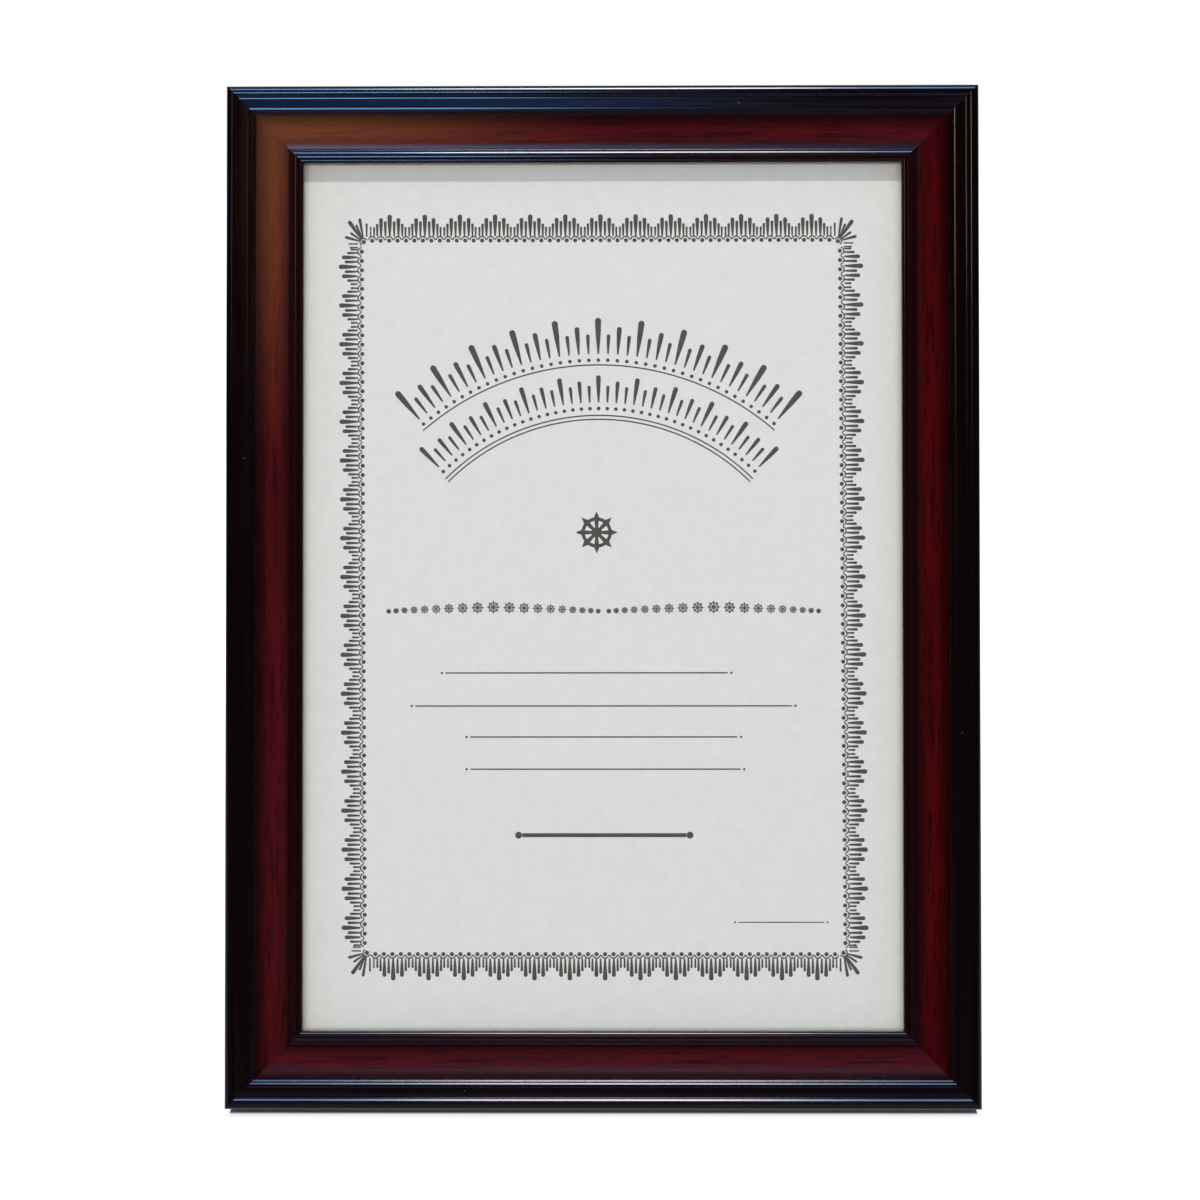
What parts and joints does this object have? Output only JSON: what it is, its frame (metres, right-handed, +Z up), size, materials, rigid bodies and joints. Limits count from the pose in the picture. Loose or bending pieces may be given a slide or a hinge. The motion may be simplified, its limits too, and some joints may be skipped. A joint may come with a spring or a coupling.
{
  "type": "certificate frame",
  "caption": "Freestanding certificate frame: mitred burgundy and black moulding round a glazed sheet, with a hinged easel strut, turn buttons and sawtooth hangers on its back.",
  "frame": {"origin": "on the table, under the middle of the standing frame's box", "axes": "+Z up from the table, +X to the right seen from the front, the front faces -Y and leans back"},
  "size_m": [0.247, 0.101, 0.331],
  "materials": {
    "lacquered_moulding": "burgundy and black gloss lacquer",
    "glass": "clear float glass",
    "printed_paper": "white sheet with an ornamental border",
    "filler_card": "grey card",
    "hardboard": "brown fibre board, smooth face",
    "zinc_steel": "zinc-plated pressed steel",
    "rivet_metal": "bright domed rivets"
  },
  "bodies": {
    "frame": {"bottom_rail": "lacquered_moulding", "right_rail": "lacquered_moulding", "top_rail": "lacquered_moulding", "left_rail": "lacquered_moulding", "corner_v_nails": "zinc_steel", "glazing": "glass", "certificate": "printed_paper", "filler_board": "filler_card", "back_board": "hardboard", "turn_button_screws": "zinc_steel", "top_hanger": "zinc_steel", "left_hanger": "zinc_steel", "hanger_nails": "zinc_steel", "hinge_board_leaf": "zinc_steel", "hinge_pin": "zinc_steel", "hinge_board_rivets": "rivet_metal"},
    "strut": {"easel_strut": "hardboard", "hinge_strut_leaf": "zinc_steel", "hinge_strut_rivets": "rivet_metal"},
    "button_bottom_left": {"turn_button_bottom_left": "zinc_steel"},
    "button_bottom_right": {"turn_button_bottom_right": "zinc_steel"},
    "button_right_lower": {"turn_button_right_lower": "zinc_steel"},
    "button_right_upper": {"turn_button_right_upper": "zinc_steel"},
    "button_top_right": {"turn_button_top_right": "zinc_steel"},
    "button_top_left": {"turn_button_top_left": "zinc_steel"},
    "button_left_upper": {"turn_button_left_upper": "zinc_steel"},
    "button_left_lower": {"turn_button_left_lower": "zinc_steel"}
  },
  "joints": [
    {"name": "strut_fold", "type": "hinge", "parent": "frame", "child": "strut", "pos_m": [0, 0.01241, 0.20982], "axis": [-1, 0, 0], "range_deg": [0, 22]},
    {"name": "button_bottom_left_turn", "type": "hinge", "parent": "frame", "child": "button_bottom_left", "pos_m": [-0.07, -0.03205, 0.01123], "axis": [0, 0.9781, -0.2079], "continuous": true},
    {"name": "button_bottom_right_turn", "type": "hinge", "parent": "frame", "child": "button_bottom_right", "pos_m": [0.07, -0.03205, 0.01123], "axis": [0, 0.9781, -0.2079], "continuous": true},
    {"name": "button_right_lower_turn", "type": "hinge", "parent": "frame", "child": "button_right_lower", "pos_m": [0.112, -0.01739, 0.08019], "axis": [0, 0.9781, -0.2079], "continuous": true},
    {"name": "button_right_upper_turn", "type": "hinge", "parent": "frame", "child": "button_right_upper", "pos_m": [0.112, 0.01822, 0.24774], "axis": [0, 0.9781, -0.2079], "continuous": true},
    {"name": "button_top_right_turn", "type": "hinge", "parent": "frame", "child": "button_top_right", "pos_m": [0.07, 0.03288, 0.3167], "axis": [0, 0.9781, -0.2079], "continuous": true},
    {"name": "button_top_left_turn", "type": "hinge", "parent": "frame", "child": "button_top_left", "pos_m": [-0.07, 0.03288, 0.3167], "axis": [0, 0.9781, -0.2079], "continuous": true},
    {"name": "button_left_upper_turn", "type": "hinge", "parent": "frame", "child": "button_left_upper", "pos_m": [-0.112, 0.01822, 0.24774], "axis": [0, 0.9781, -0.2079], "continuous": true},
    {"name": "button_left_lower_turn", "type": "hinge", "parent": "frame", "child": "button_left_lower", "pos_m": [-0.112, -0.01739, 0.08019], "axis": [0, 0.9781, -0.2079], "continuous": true}
  ]
}
